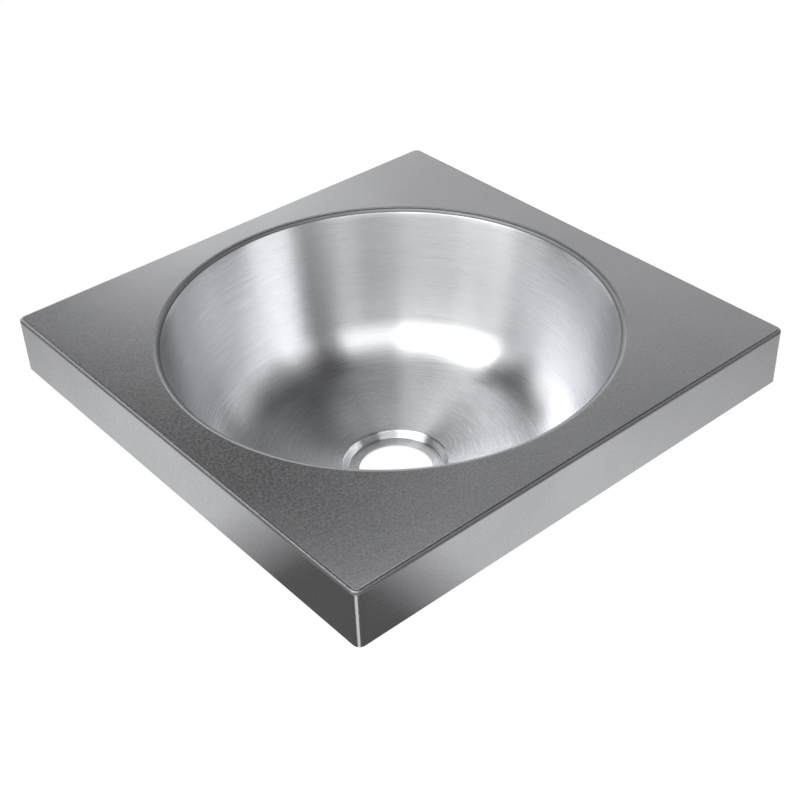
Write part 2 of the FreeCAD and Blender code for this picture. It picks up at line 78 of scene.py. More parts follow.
# How finely the round shapes are divided
BOWL_SEGMENTS = 320
SIDE_SEGMENTS = 72
CORNER_SEGMENTS = 10
BEND_SEGMENTS = 10
WALL_SEGMENTS = 24
KNUCKLE_SEGMENTS = 40
LIP_SEGMENTS = 8
SEAT_SEGMENTS = 6
PROFILE_STEP = 4 * MM
SAME_POINT = 0.001 * MM
SHARP_ANGLE = math.radians(32)


def rounded_line(corners, radii, steps):
    """Points along a line through 2-D corners, each inner corner rounded with its radius and steps."""
    points = [Vector(corners[0])]
    for index in range(1, len(corners) - 1):
        corner = Vector(corners[index])
        back = (Vector(corners[index - 1]) - corner).normalized()
        ahead = (Vector(corners[index + 1]) - corner).normalized()
        half = back.angle(ahead) / 2
        radius = radii[index - 1]
        centre = corner + (back + ahead).normalized() * (radius / math.sin(half))
        start = corner + back * (radius / math.tan(half)) - centre
        end = corner + ahead * (radius / math.tan(half)) - centre
        sweep = start.angle_signed(end)
        count = steps[index - 1]
        for step in range(count + 1):
            points.append(centre + Matrix.Rotation(-sweep * step / count, 2) @ start)
    points.append(Vector(corners[-1]))
    return points


def divided(points, longest):
    """The same line with its long stretches divided."""
    line = [points[0]]
    for start, end in zip(points, points[1:]):
        count = max(1, math.ceil((end - start).length / longest))
        line += [start.lerp(end, step / count) for step in range(1, count + 1)]
    return line


def offset_line(points, distance):
    """The line moved sideways, to the right of its direction."""
    moved = []
    for index, point in enumerate(points):
        before = points[max(index - 1, 0)]
        after = points[min(index + 1, len(points) - 1)]
        along = (after - before).normalized()
        moved.append(point + Vector((along.y, -along.x)) * distance)
    return moved


def new_piece(name, mesh, material, slot, *replaced):
    """A shown piece of the object that rides on its only body, and the nodes that it stands for."""
    piece = bpy.data.objects.new(name, mesh)
    bpy.context.scene.collection.objects.link(piece)
    mesh.materials.append(material)
    mesh.shade_smooth()
    mesh.set_sharp_from_angle(angle=SHARP_ANGLE)
    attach(piece, "root")
    if replaced:
        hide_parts(*replaced)
    return piece


def skin(name, shells, closed=True):
    """A mesh of skins, each through rings of points. A closed skin's last ring joins its first one,
    and an open skin has a cap at each end."""
    shape = bmesh.new()
    for rings in shells:
        loops = [[shape.verts.new(point) for point in ring] for ring in rings]
        following = loops[1:] + loops[:1] if closed else loops[1:]
        for loop, after in zip(loops, following):
            for index in range(len(loop)):
                other = (index + 1) % len(loop)
                shape.faces.new((loop[index], loop[other], after[other], after[index]))
        if not closed:
            shape.faces.new(loops[0])
            shape.faces.new(loops[-1])
    bmesh.ops.remove_doubles(shape, verts=shape.verts, dist=SAME_POINT)
    bmesh.ops.recalc_face_normals(shape, faces=shape.faces)
    mesh = bpy.data.meshes.new(name)
    shape.to_mesh(mesh)
    shape.free()
    return mesh


def turned_ring(radius, depth, angles):
    """A ring about the bowl's axis, at a depth below the deck's top."""
    return [AXIS + Vector((radius * math.cos(a), radius * math.sin(a), -depth)) for a in angles]


def square_ring(low, high, radius, depth):
    """A rounded rectangle between two corners in plan, at a depth below the deck's top."""
    corners = [(high.x, high.y), (low.x, high.y), (low.x, low.y), (high.x, low.y)]
    inward = [(-1, -1), (1, -1), (1, 1), (-1, 1)]
    arcs = []
    for turn, ((x, y), (in_x, in_y)) in enumerate(zip(corners, inward)):
        centre = Vector((x + in_x * radius, y + in_y * radius))
        angles = [math.pi / 2 * (turn + step / CORNER_SEGMENTS) for step in range(CORNER_SEGMENTS + 1)]
        arcs.append([centre + radius * Vector((math.cos(a), math.sin(a))) for a in angles])
    points = []
    for arc, following in zip(arcs, arcs[1:] + arcs[:1]):
        points += arc
        points += [arc[-1].lerp(following[0], step / SIDE_SEGMENTS) for step in range(1, SIDE_SEGMENTS)]
    return [Vector((point.x, point.y, AXIS.z - depth)) for point in points]


def inset_ring(inset, depth):
    """The deck's outline moved inwards."""
    edge = Vector((inset, inset, 0))
    return square_ring(deck_low + edge, deck_high - edge, DECK_CORNER - inset, depth)


def return_ring(depth):
    """The opening between the return flanges. The wall side has no flange."""
    low = deck_low + Vector((RETURN_WIDTH, RETURN_WIDTH, 0))
    high = deck_high - Vector((RETURN_WIDTH, DECK_SHEET, 0))
    return square_ring(low, high, RETURN_CORNER, depth)


def deck_mesh():
    """The folded deck with its rolled rim, as one closed skin of the sheet."""
    outline = inset_ring(0, 0)
    angles = [math.atan2(point.y - AXIS.y, point.x - AXIS.x) for point in outline]
    slope = math.tan(WALL_ANGLE)
    foot = RIM_RADIUS - SEAM_DEPTH * slope
    far = RIM_RADIUS + 2 * RIM_ROLL
    rim = rounded_line([(foot, -SEAM_DEPTH), (RIM_RADIUS, 0), (far, 0)], [RIM_ROLL], [BEND_SEGMENTS])[:-1]
    rim.append(rim[-1] + Vector((FLAT_MARGIN, 0)))
    under_rim = offset_line(rim, DECK_SHEET)
    under_rim[0].y = -SEAM_DEPTH

    quarter = [math.pi / 2 * step / BEND_SEGMENTS for step in range(BEND_SEGMENTS + 1)]
    inner_bend = TOP_BEND - DECK_SHEET
    rings = [turned_ring(point.x, -point.y, angles) for point in rim]
    rings += [inset_ring(TOP_BEND + FLAT_MARGIN, 0)]
    rings += [inset_ring(TOP_BEND * (1 - math.sin(a)), TOP_BEND * (1 - math.cos(a))) for a in quarter]
    rings += [inset_ring(0, TOP_BEND + FLAT_MARGIN), inset_ring(0, APRON_HEIGHT - FOOT_EDGE - FLAT_MARGIN)]
    rings += [inset_ring(FOOT_EDGE * (1 - math.cos(a)), APRON_HEIGHT - FOOT_EDGE * (1 - math.sin(a)))
              for a in quarter]
    rings += [return_ring(APRON_HEIGHT), return_ring(APRON_HEIGHT - DECK_SHEET)]
    rings += [inset_ring(DECK_SHEET, APRON_HEIGHT - DECK_SHEET)]
    rings += [inset_ring(TOP_BEND - inner_bend * math.sin(a), TOP_BEND - inner_bend * math.cos(a))
              for a in reversed(quarter)]
    rings += [turned_ring(point.x, -point.y, angles) for point in reversed(under_rim)]
    return skin("deck_skin", [rings])


def bowl_profile():
    """The bowl's inside from its rim down to the waste hole, as distances from the axis and heights."""
    wall = math.tan(WALL_ANGLE)
    rise = math.tan(DISH_SLOPE)
    dish_edge = SEAT_DEPTH - RECESS_STEP
    knuckle = (RIM_RADIUS - wall * (dish_edge + RECESS_RADIUS * rise)) / (1 - wall * rise)
    crown = (knuckle - RIM_RADIUS) / wall * WALL_CROWN_SHARE
    corners = [
        (RIM_RADIUS - SEAM_DEPTH * wall, -SEAM_DEPTH),
        (RIM_RADIUS + crown * wall + WALL_CROWN, crown),
        (knuckle, (knuckle - RIM_RADIUS) / wall),
        (RECESS_RADIUS, -dish_edge),
        (SEAT_RADIUS, -SEAT_DEPTH),
        (WASTE_RADIUS, -SEAT_DEPTH),
    ]
    radii = [WALL_ARC, KNUCKLE_RADIUS, RECESS_LIP, SEAT_CORNER]
    return rounded_line(corners, radii, [WALL_SEGMENTS, KNUCKLE_SEGMENTS, LIP_SEGMENTS, SEAT_SEGMENTS])


def bowl_mesh():
    """The drawn bowl as one closed skin of the sheet."""
    inside = divided(bowl_profile(), PROFILE_STEP)
    outside = offset_line(inside, -BOWL_SHEET)
    outside[0].y = -SEAM_DEPTH
    outside[-1].x = WASTE_RADIUS
    angles = [2 * math.pi * step / BOWL_SEGMENTS for step in range(BOWL_SEGMENTS)]
    rings = [turned_ring(point.x, -point.y, angles) for point in inside + outside[::-1]]
    return skin("bowl_skin", [rings])


# Plain colours of shaders, and how metallic a finish is
WHITE = (1, 1, 1, 1)
BLACK = (0, 0, 0, 1)
METAL = 1
NO_METAL = 0


def add(tree, kind, inputs=None, **settings):
    """A new node in a tree. Each input is a plain value or another node's output."""
    node = tree.nodes.new(kind)
    for name, value in settings.items():
        setattr(node, name, value)
    for name, value in (inputs or {}).items():
        if isinstance(value, bpy.types.NodeSocket):
            tree.links.new(value, node.inputs[name])
        else:
            node.inputs[name].default_value = value
    return node


def maths(tree, operation, *values):
    """The result of a maths node."""
    return add(tree, "ShaderNodeMath", dict(enumerate(values)), operation=operation).outputs[0]


def noise(tree, place, scale, detail):
    """Noise about 0.5, with features of one over the scale."""
    return add(tree, "ShaderNodeTexNoise", {"Vector": place, "Scale": scale, "Detail": detail}).outputs[0]


def spread(tree, value, low, high, start=0.25, end=0.75):
    """A value between start and end turned into one between low and high."""
    inputs = {"Value": value, "From Min": start, "From Max": end, "To Min": low, "To Max": high}
    return add(tree, "ShaderNodeMapRange", inputs).outputs[0]


def bump(tree, height, depth, **over):
    """Normals of a surface that the height moves by up to the depth, over another Normal if given."""
    return add(tree, "ShaderNodeBump", {"Height": height, "Distance": depth, **over}).outputs[0]


def blend_colours(tree, factor, one, other):
    """A colour between two plain ones."""
    mix = add(tree, "ShaderNodeMix", {"Factor": factor, "A": (*one, 1), "B": (*other, 1)}, data_type="RGBA")
    return mix.outputs["Result"]


def new_material(name, metallic):
    """A material with its node tree, its shader and the place on the object in metres."""
    material = bpy.data.materials.new(name)
    material.use_nodes = True
    tree = material.node_tree
    shader = tree.nodes["Principled BSDF"]
    shader.inputs["Metallic"].default_value = metallic
    place = add(tree, "ShaderNodeTexCoord").outputs["Object"]
    return material, tree, shader, place


def bend_mask(tree):
    """1 halfway round a fold between level and upright sheet, and 0 on the flat sheet at both sides."""
    normal = add(tree, "ShaderNodeNewGeometry").outputs["Normal"]
    level = add(tree, "ShaderNodeSeparateXYZ", {0: normal}).outputs["Z"]
    upright = maths(tree, "SUBTRACT", 1.0, level)
    mask = maths(tree, "MULTIPLY", maths(tree, "MULTIPLY", level, upright), 4.0)
    return maths(tree, "MAXIMUM", mask, 0.0)


# The share of a dressed fold's colour that is darkened towards black, a painted shade that tones down the
# fold's highlight, and the share of the fine grain in a colour
FOLD_PAINTED_SHADE = 0.75
SPECKLE = 0.65
FINE_DETAIL = 2
CLOUD_DETAIL = 3


def grained(name, metallic, colours, roughness, grain, clouds, depth, stretch=(1, 1, 1), dressed=0.0):
    """A material whose fine grain sets its roughness and relief, and whose colour drifts in larger clouds.
    Grain and clouds count to the metre, and depth is the relief's. Stretch draws the grain out.
    Dressed is how much rougher the file and the abrasive left its folds, which then also get painted shade."""
    material, tree, shader, place = new_material(name, metallic)
    drawn = add(tree, "ShaderNodeVectorMath", {0: place, 1: stretch}, operation="MULTIPLY").outputs[0]
    fine = noise(tree, drawn, grain, FINE_DETAIL)
    drift = noise(tree, place, clouds, CLOUD_DETAIL)
    shade = maths(tree, "MULTIPLY_ADD", fine, SPECKLE, maths(tree, "MULTIPLY", drift, 1 - SPECKLE))
    colour = blend_colours(tree, shade, *colours)
    matt = spread(tree, fine, *roughness)
    if dressed:
        bends = bend_mask(tree)
        matt = maths(tree, "MULTIPLY_ADD", bends, dressed, matt)
        # Painted shade: halfway round each fold the colour is darkened towards black, which tones down the
        # fold's highlight
        painted_fold_shade = maths(tree, "MULTIPLY", bends, FOLD_PAINTED_SHADE)
        inputs = {"Factor": painted_fold_shade, "A": colour, "B": BLACK}
        colour = add(tree, "ShaderNodeMix", inputs, data_type="RGBA").outputs["Result"]
    tree.links.new(colour, shader.inputs["Base Color"])
    tree.links.new(matt, shader.inputs["Roughness"])
    tree.links.new(bump(tree, fine, depth), shader.inputs["Normal"])
    return material


# The bowl's brush marks: how many to the metre down the bowl, how many round it, and their detail
FINE_LINES = (2600, 3, 2)
COARSE_LINES = (420, 3, 2)
RIPPLES = (0, 80, 3)
WAVES = (4, 12, 1)
LINE_DEPTH = 0.002 * MM
RIPPLE_DEPTH = 0.015 * MM
WAVE_DEPTH = 0.05 * MM
BRUSHED_COLOURS = [(0.555, 0.56, 0.575), (0.615, 0.62, 0.635)]
BRUSHED_ROUGHNESS = (0.26, 0.31)
QUARTER_TURN = 0.25


def brushed_steel():
    """The bowl's finish: fine lines brushed in circles about its axis."""
    material, tree, shader, place = new_material("brushed_steel", METAL)
    centred = add(tree, "ShaderNodeVectorMath", {0: place, 1: AXIS}, operation="SUBTRACT").outputs[0]
    part = add(tree, "ShaderNodeSeparateXYZ", {0: centred}).outputs
    flat = add(tree, "ShaderNodeCombineXYZ", {"X": part["X"], "Y": part["Y"]}).outputs[0]
    radius = add(tree, "ShaderNodeVectorMath", {0: flat}, operation="LENGTH").outputs["Value"]
    along = maths(tree, "ADD", radius, part["Z"])

    def lines(per_metre, per_turn, detail):
        """Noise drawn out into arcs about the axis."""
        around = add(tree, "ShaderNodeVectorMath", {0: flat}, operation="NORMALIZE").outputs[0]
        inputs = {0: around, "Scale": per_turn}
        drawn = add(tree, "ShaderNodeVectorMath", inputs, operation="SCALE").outputs[0]
        turn = add(tree, "ShaderNodeSeparateXYZ", {0: drawn}).outputs
        height = maths(tree, "MULTIPLY", along, per_metre)
        spot = add(tree, "ShaderNodeCombineXYZ", {"X": turn["X"], "Y": turn["Y"], "Z": height}).outputs[0]
        return noise(tree, spot, 1, detail)

    fine = lines(*FINE_LINES)
    coarse = lines(*COARSE_LINES)
    ripples = lines(*RIPPLES)
    waves = lines(*WAVES)
    tree.links.new(blend_colours(tree, coarse, *BRUSHED_COLOURS), shader.inputs["Base Color"])
    tree.links.new(spread(tree, fine, *BRUSHED_ROUGHNESS), shader.inputs["Roughness"])
    relief = bump(tree, waves, WAVE_DEPTH)
    relief = bump(tree, ripples, RIPPLE_DEPTH, Normal=relief)
    relief = bump(tree, fine, LINE_DEPTH, Normal=relief)
    tree.links.new(relief, shader.inputs["Normal"])
    shader.inputs["Anisotropic"].default_value = 1
    shader.inputs["Anisotropic Rotation"].default_value = QUARTER_TURN
    tangent = add(tree, "ShaderNodeTangent", direction_type="RADIAL", axis="Z")
    tree.links.new(tangent.outputs[0], shader.inputs["Tangent"])
    return material


# Finishes of the sheet, the fasteners, the welds and the rubber
# The satin steel's folds are rougher and also get painted shade, darkened towards black halfway round each
# fold
satin_steel = grained(
    "satin_steel", METAL,
    colours=[(0.425, 0.43, 0.445), (0.715, 0.72, 0.735)],
    roughness=(0.17, 0.24),
    grain=700, clouds=18, depth=0.006 * MM, dressed=0.5,
)
mill_steel = grained(
    "mill_steel", METAL,
    colours=[(0.42, 0.425, 0.435), (0.53, 0.535, 0.545)],
    roughness=(0.30, 0.46),
    grain=1, clouds=35, depth=0.02 * MM, stretch=(30, 900, 900),
)
bright_steel = grained(
    "bright_steel", METAL,
    colours=[(0.52, 0.52, 0.53), (0.66, 0.66, 0.67)],
    roughness=(0.18, 0.30),
    grain=1200, clouds=160, depth=0.01 * MM,
)
turned_brass = grained(
    "turned_brass", METAL,
    colours=[(0.58, 0.41, 0.17), (0.76, 0.58, 0.28)],
    roughness=(0.22, 0.38),
    grain=1200, clouds=220, depth=0.01 * MM,
)
weld_steel = grained(
    "weld_steel", METAL,
    colours=[(0.42, 0.38, 0.33), (0.56, 0.56, 0.57)],
    roughness=(0.24, 0.42),
    grain=900, clouds=120, depth=0.02 * MM,
)
black_rubber = grained(
    "black_rubber", NO_METAL,
    colours=[(0.018, 0.018, 0.018), (0.035, 0.035, 0.034)],
    roughness=(0.62, 0.82),
    grain=1800, clouds=90, depth=0.03 * MM,
)
sound_rubber = grained(
    "sound_rubber", NO_METAL,
    colours=[(0.045, 0.045, 0.048), (0.085, 0.085, 0.09)],
    roughness=(0.70, 0.92),
    grain=650, clouds=40, depth=0.15 * MM,
)

bowl_finish = brushed_steel()
new_piece("drawn_bowl", bowl_mesh(), bowl_finish, "bowl_steel", "bowl")
deck = new_piece("folded_deck", deck_mesh(), satin_steel, "deck_steel", "deck")

# The weld's inside is ground flush and brushed with the bowl, up to where the rim's roll leans by this angle
BRUSHED_UP_TO = math.radians(28)
deck.data.materials.append(bowl_finish)
for face in deck.data.polygons:
    across = (face.center - AXIS) * Vector((1, 1, 0))
    in_mouth = across.length < RIM_RADIUS + RIM_ROLL and face.normal.dot(across) < 0
    if in_mouth and face.normal.z < math.sin(BRUSHED_UP_TO):
        face.material_index = len(deck.data.materials) - 1

# Pieces that keep their CAD shape, with the width of their edges' rounding
EDGE_SEGMENTS = 2
KEPT_NODES = [
    (mill_steel, 0.35 * MM, ["wall_bracket", "left_mount_rail", "right_mount_rail", "earth_tag"]),
    (black_rubber, 0.3 * MM, ["left_bearing_pad", "right_bearing_pad"]),
    (sound_rubber, 0.5 * MM, ["left_sound_pad", "right_sound_pad"]),
]
for finish, edge, names in KEPT_NODES:
    for name in names:
        nodes[name].data.materials[0] = finish
        rounding = nodes[name].modifiers.new("rounded_edges", "BEVEL")
        rounding.width = edge
        rounding.segments = EDGE_SEGMENTS
        rounding.limit_method = "ANGLE"
        rounding.angle_limit = SHARP_ANGLE

# Screws, nuts and washers
ROUND_STEPS = 72
ROUND = [2 * math.pi * step / ROUND_STEPS for step in range(ROUND_STEPS)]
SCREW_RADIUS = 3 * MM
SCREW_HEAD = 4 * MM
HALF_FLATS = 5 * MM
HEX_CHAMFER = 0.7 * MM
CHAMFER_STEPS = 4
THREAD_PITCH = 1 * MM
THREAD_DEPTH = 0.55 * MM
THREAD_STEPS = 8
BORE_RADIUS = 3.05 * MM
BORE_CHAMFER = 0.4 * MM
WASHER_RADIUS = 6 * MM
WASHER_EDGE = 0.2 * MM
SPRING_RADIUS = 5.6 * MM
SPRING_GAP = 1.2 * MM
SPRING_LIFT = 0.12 * MM
FACE_SHARE = 0.9
TIP_SHARE = 0.9


def polar_ring(seat, height, radius):
    """A ring about a seat's own z axis, with the radius as a function of the angle."""
    return [seat @ Vector((radius(a) * math.cos(a), radius(a) * math.sin(a), height)) for a in ROUND]


def round_ring(seat, height, radius):
    """A circle about a seat's own z axis."""
    return polar_ring(seat, height, lambda angle: radius)


def hex_radius(angle):
    """Distance from a hexagon's middle to its side, with a corner at angle 0."""
    sixth = math.pi / 3
    return HALF_FLATS / math.cos(angle % sixth - sixth / 2)


def hex_chamfer(seat, face, inward):
    """Rings of a hexagon's turned corners, from its end face inwards."""
    corner = hex_radius(0)
    rings = []
    for step in range(CHAMFER_STEPS + 1):
        share = step / CHAMFER_STEPS
        limit = HALF_FLATS + (corner - HALF_FLATS) * share
        height = face + inward * HEX_CHAMFER * share
        rings.append(polar_ring(seat, height, lambda angle: min(hex_radius(angle), limit)))
    return rings


def screw_rings(seat, length):
    """A hexagon screw from the outer face of its head to its tip, with a helical thread."""
    def thread(height):
        def radius(angle):
            phase = (height / THREAD_PITCH - angle / (2 * math.pi)) % 1
            return SCREW_RADIUS - THREAD_DEPTH * abs(2 * phase - 1)
        return polar_ring(seat, height, radius)

    core = SCREW_RADIUS - THREAD_DEPTH
    rings = [round_ring(seat, 0, HALF_FLATS * FACE_SHARE)]
    rings += hex_chamfer(seat, 0, 1)
    rings += [polar_ring(seat, SCREW_HEAD, hex_radius), round_ring(seat, SCREW_HEAD, core)]
    count = int((length - SCREW_HEAD - THREAD_PITCH / 2) / THREAD_PITCH * THREAD_STEPS)
    rings += [thread(SCREW_HEAD + THREAD_PITCH * step / THREAD_STEPS) for step in range(1, count)]
    rings += [round_ring(seat, length - THREAD_PITCH / 4, core)]
    rings += [round_ring(seat, length, core * TIP_SHARE)]
    return rings


def nut_rings(seat, height):
    """A hexagon nut round its bore."""
    rings = hex_chamfer(seat, 0, 1)
    rings += hex_chamfer(seat, height, -1)[::-1]
    rings += [round_ring(seat, height, BORE_RADIUS + BORE_CHAMFER)]
    rings += [round_ring(seat, height - BORE_CHAMFER, BORE_RADIUS)]
    rings += [round_ring(seat, BORE_CHAMFER, BORE_RADIUS)]
    rings += [round_ring(seat, 0, BORE_RADIUS + BORE_CHAMFER)]
    return rings


def washer_section(outer, thick):
    """Outline of a washer's sheet with its edges eased, as radii and heights."""
    edge = WASHER_EDGE
    return [
        (BORE_RADIUS + edge, 0),
        (outer - edge, 0),
        (outer, edge),
        (outer, thick - edge),
        (outer - edge, thick),
        (BORE_RADIUS + edge, thick),
        (BORE_RADIUS, thick - edge),
        (BORE_RADIUS, edge),
    ]


def washer_rings(seat, thick):
    """A flat washer round its bore."""
    return [round_ring(seat, height, radius) for radius, height in washer_section(WASHER_RADIUS, thick)]


def spring_rings(seat, thick):
    """A spring washer as sections round its axis, with a gap and its ends a little apart in height."""
    half_gap = SPRING_GAP / 2 / SPRING_RADIUS
    section = washer_section(SPRING_RADIUS, thick - SPRING_LIFT)
    rings = []
    for step in range(ROUND_STEPS + 1):
        angle = half_gap + (2 * math.pi - 2 * half_gap) * step / ROUND_STEPS
        lift = SPRING_LIFT * step / ROUND_STEPS
        ring = []
        for radius, height in section:
            spot = Vector((radius * math.cos(angle), radius * math.sin(angle), height + lift))
            ring.append(seat @ spot)
        rings.append(ring)
    return rings


def pair_seats(node, reach):
    """The seats of a left and right pair whose outer faces are the reach away from their axes."""
    low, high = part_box(node)
    across = high.x - reach
    return [Matrix.Translation((side * across, (low.y + high.y) / 2, low.z)) for side in (-1, 1)]


def earth_seat(across):
    """A seat on the earth screw's axis, which points towards the bowl."""
    low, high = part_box("earth_screw")
    middle = Vector((across, (low.y + high.y) / 2, (low.z + high.z) / 2))
    return Matrix.Translation(middle) @ Matrix.Rotation(-math.pi / 2, 4, "Y")


def height_of(node):
    """A node's size from bottom to top."""
    low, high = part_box(node)
    return high.z - low.z


HEX_CORNER = hex_radius(0)
WASHER_THICK = height_of("locking_flat_washers")

screw_length = height_of("locking_screws")
screws = [screw_rings(seat, screw_length) for seat in pair_seats("locking_screws", HEX_CORNER)]
new_piece("threaded_locking_screws", skin("screw_skin", screws, closed=False),
          bright_steel, "fastener_steel", "locking_screws")

nut_height = height_of("rail_weld_nuts")
nuts = [nut_rings(seat, nut_height) for seat in pair_seats("rail_weld_nuts", HEX_CORNER)]
new_piece("chamfered_weld_nuts", skin("nut_skin", nuts), bright_steel, "fastener_steel", "rail_weld_nuts")

flat_seats = pair_seats("locking_flat_washers", WASHER_RADIUS)
flat_washers = [washer_rings(seat, WASHER_THICK) for seat in flat_seats]
new_piece("eased_flat_washers", skin("washer_skin", flat_washers),
          bright_steel, "fastener_steel", "locking_flat_washers")

spring_seats = [Matrix.Translation((0, 0, -WASHER_THICK)) @ seat for seat in flat_seats]
spring_washers = [spring_rings(seat, WASHER_THICK) for seat in spring_seats]
new_piece("split_spring_washers", skin("spring_skin", spring_washers, closed=False),
          bright_steel, "fastener_steel", "locking_spring_washers")

earth_low, earth_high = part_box("earth_screw")
earth_screw = screw_rings(earth_seat(earth_high.x), earth_high.x - earth_low.x)
new_piece("threaded_earth_screw", skin("earth_screw_skin", [earth_screw], closed=False),
          turned_brass, "earth_brass", "earth_screw")

nut_low, nut_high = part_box("earth_nut")
earth_nut = nut_rings(earth_seat(nut_high.x), nut_high.x - nut_low.x)
new_piece("chamfered_earth_nut", skin("earth_nut_skin", [earth_nut]),
          turned_brass, "earth_brass", "earth_nut")

tag_low, tag_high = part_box("earth_tag")
_, washers_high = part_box("earth_washers")
earth_washers = [washer_rings(earth_seat(x), WASHER_THICK) for x in (washers_high.x, tag_low.x)]
new_piece("eased_earth_washers", skin("earth_washer_skin", earth_washers),
          turned_brass, "earth_brass", "earth_washers")

# The weld round the seam, and the spot welds that hold the rails and the earth tag to the deck
BEAD_HALF_WIDTH = 2 * MM
BEAD_CROWN = 0.7 * MM
BEAD_SINK = 0.2 * MM
BEAD_RIPPLE = 0.16
BEAD_RIPPLES = 240
RIPPLE_STEPS = 5
BEAD_POINTS = 8
SPOT_SECTION = [(2.8 * MM, -0.1 * MM), (2.7 * MM, 0.08 * MM), (2.2 * MM, 0.22 * MM), (1.2 * MM, 0.3 * MM)]
RAIL_SPOTS = (0.15, 0.5, 0.85)
TAG_SPOTS = (0.25, 0.75)
RAIL_SHEET = 2 * MM
RAIL_FOOT = 10 * MM
TAG_SHEET = 1.5 * MM


def bead_rings():
    """Sections of a rippled bead on the outside of the seam between deck and bowl."""
    outward = Vector((math.cos(WALL_ANGLE), -math.sin(WALL_ANGLE)))
    downward = Vector((-math.sin(WALL_ANGLE), -math.cos(WALL_ANGLE)))
    sheet = (DECK_SHEET + BOWL_SHEET) / 2
    foot = Vector((RIM_RADIUS - SEAM_DEPTH * math.tan(WALL_ANGLE), -SEAM_DEPTH)) + outward * sheet
    count = BEAD_RIPPLES * RIPPLE_STEPS
    rings = []
    for step in range(count):
        angle = 2 * math.pi * step / count
        crown = BEAD_CROWN * (1 + BEAD_RIPPLE * math.cos(2 * math.pi * step / RIPPLE_STEPS))
        ring = []
        for point in range(BEAD_POINTS + 1):
            across = 2 * point / BEAD_POINTS - 1
            height = (crown + BEAD_SINK) * (1 - across * across) - BEAD_SINK
            spot = foot + downward * (BEAD_HALF_WIDTH * across) + outward * height
            ring.append(AXIS + Vector((spot.x * math.cos(angle), spot.x * math.sin(angle), spot.y)))
        rings.append(ring)
    return rings


def spot_weld(x, y, z):
    """A shallow round weld mark that faces down."""
    seat = Matrix.Translation((x, y, z)) @ Matrix.Rotation(math.pi, 4, "X")
    return [round_ring(seat, height, radius) for radius, height in SPOT_SECTION]


spots = []
for name in ("left_mount_rail", "right_mount_rail"):
    low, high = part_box(name)
    for share in RAIL_SPOTS:
        for x in (low.x + RAIL_FOOT / 2, high.x - RAIL_FOOT / 2):
            spots.append(spot_weld(x, low.y + share * (high.y - low.y), high.z - RAIL_SHEET))
tag_foot = (tag_low.x + TAG_SHEET + tag_high.x) / 2
for share in TAG_SPOTS:
    spots.append(spot_weld(tag_foot, tag_low.y + share * (tag_high.y - tag_low.y), tag_high.z - TAG_SHEET))
new_piece("seam_weld", skin("seam_weld_skin", [bead_rings()]), weld_steel, "bowl_steel")
new_piece("spot_welds", skin("spot_weld_skin", spots, closed=False), weld_steel, "bracket_steel")


def staged_plane(name, corners, material):
    """A flat piece of the studio, which isn't part of the object."""
    mesh = bpy.data.meshes.new(name)
    mesh.from_pydata(corners, [], [tuple(range(len(corners)))])
    mesh.materials.append(material)
    plane = bpy.data.objects.new(name, mesh)
    bpy.context.scene.collection.objects.link(plane)
    return plane


def rectangle(reach_x, reach_y, z):
    """Corners of a level rectangle between two places on each axis, the front left one first."""
    left, right = reach_x
    front, back = reach_y
    return [(left, front, z), (right, front, z), (right, back, z), (left, back, z)]


# Floor at the height below the rim that a washbasin hangs at
RIM_HEIGHT = 0.85
FLOOR_REACH = (-20.0, 20.0)
FLOOR_GLOW = 0.93
FLOOR_COLOUR = (0.85, 0.85, 0.85, 1)
FLOOR_ROUGHNESS = 0.9


def floor_finish():
    """A white floor that keeps the object's shadow."""
    material, tree, shader, _ = new_material("pale_floor", NO_METAL)
    shader.inputs["Base Color"].default_value = FLOOR_COLOUR
    shader.inputs["Roughness"].default_value = FLOOR_ROUGHNESS
    path = add(tree, "ShaderNodeLightPath").outputs
    seen = maths(tree, "ADD", path["Is Camera Ray"], path["Is Glossy Ray"])
    seen = maths(tree, "ADD", seen, path["Is Transmission Ray"])
    share = maths(tree, "MULTIPLY", seen, FLOOR_GLOW)
    white = add(tree, "ShaderNodeEmission", {"Color": WHITE, "Strength": 1})
    mix = add(tree, "ShaderNodeMixShader", {0: share, 1: shader.outputs[0], 2: white.outputs[0]})
    tree.links.new(mix.outputs[0], tree.nodes["Material Output"].inputs["Surface"])
    return material


staged_plane("floor", rectangle(FLOOR_REACH, FLOOR_REACH, AXIS.z - RIM_HEIGHT), floor_finish())

# Cards below the left and the front apron, which only the metal mirrors. The near ones are graduated, dark
# near the front left corner, and have slanted ends there. The folds mirror the plain grey ones further out.
CARD_DARK = 0.13
CARD_LIGHT = 0.76
CARD_END = 0.65
CARD_GREY = 0.28
CARD_DROP = 0.1
CARD_GAP = 5 * MM
LEFT_CARD_EDGE = -0.42
LEFT_CARD_FRONT = -0.465
LEFT_CARD_BACK = 0.35
FRONT_CARD_EDGE = -0.62
FRONT_CARD_LEFT = -0.335
FRONT_CARD_RIGHT = 0.50
FAR_LEFT_EDGE = -1.6
FAR_LEFT_BACK = 1.4
FAR_FRONT_EDGE = -1.8
FAR_FRONT_RIGHT = 1.6
# Where a near card is dark, where its full light starts, and between which places it falls off
LEFT_CARD_SHADE = (-0.225, -0.14, 0.0, 0.2)
FRONT_CARD_SHADE = (-0.10, -0.035, 0.1, 0.32)


def glow_material(name):
    """A material that only glows, with its node tree, the input for its light and the place in metres."""
    material, tree, shader, place = new_material(name, NO_METAL)
    shader.inputs["Base Color"].default_value = BLACK
    shader.inputs["Specular IOR Level"].default_value = 0
    shader.inputs["Emission Color"].default_value = WHITE
    return material, tree, shader.inputs["Emission Strength"], place


